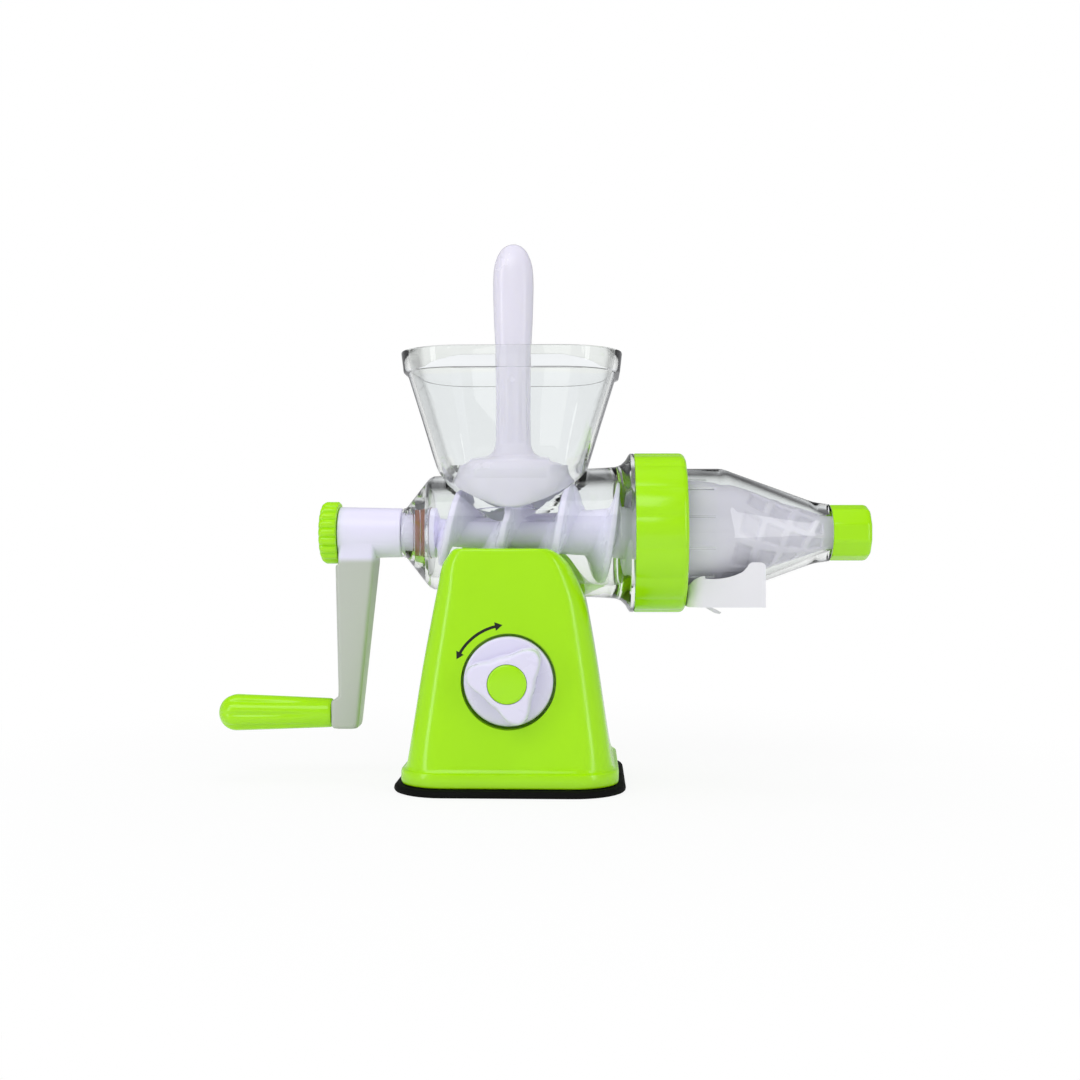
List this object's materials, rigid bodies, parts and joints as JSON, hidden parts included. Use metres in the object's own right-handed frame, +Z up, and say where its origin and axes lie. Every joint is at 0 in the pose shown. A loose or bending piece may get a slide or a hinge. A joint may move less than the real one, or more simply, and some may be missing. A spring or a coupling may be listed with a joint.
{
  "type": "hand-cranked juicer",
  "caption": "Manual juicer: a clear hopper and barrel on a green suction base, with a cranked auger, a clamped cone cover over a strainer, a juice spout and a food pusher.",
  "frame": {"origin": "middle of the suction pad's flat underside, which stands on the worktop", "axes": "+X along the barrel towards the pulp outlet, with the crank at -X; -Y towards the user's side with the knob; +Z up"},
  "size_m": [0.3596, 0.1244, 0.2962],
  "materials": {
    "green_plastic": "gloss",
    "white_plastic": "satin",
    "clear_plastic": "clear gloss",
    "frosted_plastic": "translucent satin",
    "black_rubber": "matt",
    "silicone": "matt",
    "steel": "bright"
  },
  "bodies": {
    "root": {"base_shell": "green_plastic", "base_plate": "white_plastic", "suction_pad": "black_rubber", "base_screw_1": "steel", "base_screw_2": "steel", "base_screw_3": "steel", "base_screw_4": "steel", "barrel_hopper": "clear_plastic", "shaft_bushing": "white_plastic", "shaft_seal": "silicone", "outlet_cover": "clear_plastic", "strainer": "frosted_plastic", "cover_gasket": "silicone", "juice_spout": "white_plastic"},
    "suction_knob": {"knob": "white_plastic", "knob_cap": "green_plastic", "cam_shaft": "white_plastic", "knob_screw": "steel"},
    "stem": {"pull_stem": "white_plastic"},
    "drive": {"auger": "white_plastic", "auger_stud": "steel", "crank_arm": "white_plastic", "grip_pin": "steel"},
    "crank_nut": {"thumb_nut": "green_plastic"},
    "crank_grip": {"grip": "green_plastic"},
    "ring": {"locking_ring": "green_plastic"},
    "outlet_cap": {"end_cap": "green_plastic"},
    "food_pusher": {"pusher": "frosted_plastic"}
  },
  "joints": [
    {"name": "crank_turn", "type": "hinge", "parent": "root", "child": "drive", "pos_m": [0, 0, 0.1365], "axis": [1, 0, 0], "continuous": true},
    {"name": "grip_spin", "type": "hinge", "parent": "drive", "child": "crank_grip", "pos_m": [-0.13, 0, 0.0363], "axis": [1, 0, 0], "continuous": true},
    {"name": "thumb_nut_turn", "type": "hinge", "parent": "drive", "child": "crank_nut", "pos_m": [-0.1, 0, 0.1365], "axis": [-1, 0, 0], "range_deg": [0, 720]},
    {"name": "knob_turn", "type": "hinge", "parent": "root", "child": "suction_knob", "pos_m": [0, -0.05, 0.0587], "axis": [0, 1, 0], "range_deg": [0, 75]},
    {"name": "stem_lift", "type": "slide", "parent": "root", "child": "stem", "axis": [0, 0, 1], "range_m": [0, 0.0037]},
    {"name": "locking_ring_turn", "type": "hinge", "parent": "root", "child": "ring", "pos_m": [0.08, 0, 0.1365], "axis": [1, 0, 0], "range_deg": [0, 360]},
    {"name": "end_cap_turn", "type": "hinge", "parent": "root", "child": "outlet_cap", "pos_m": [0.18, 0, 0.1365], "axis": [1, 0, 0], "range_deg": [0, 540]},
    {"name": "pusher_slide", "type": "slide", "parent": "root", "child": "food_pusher", "axis": [0, 0, 1], "range_m": [0, 0.12]}
  ],
  "couplings": [
    {"joint": "stem_lift", "follows": "knob_turn", "m_per_rad": 0.0027904}
  ]
}
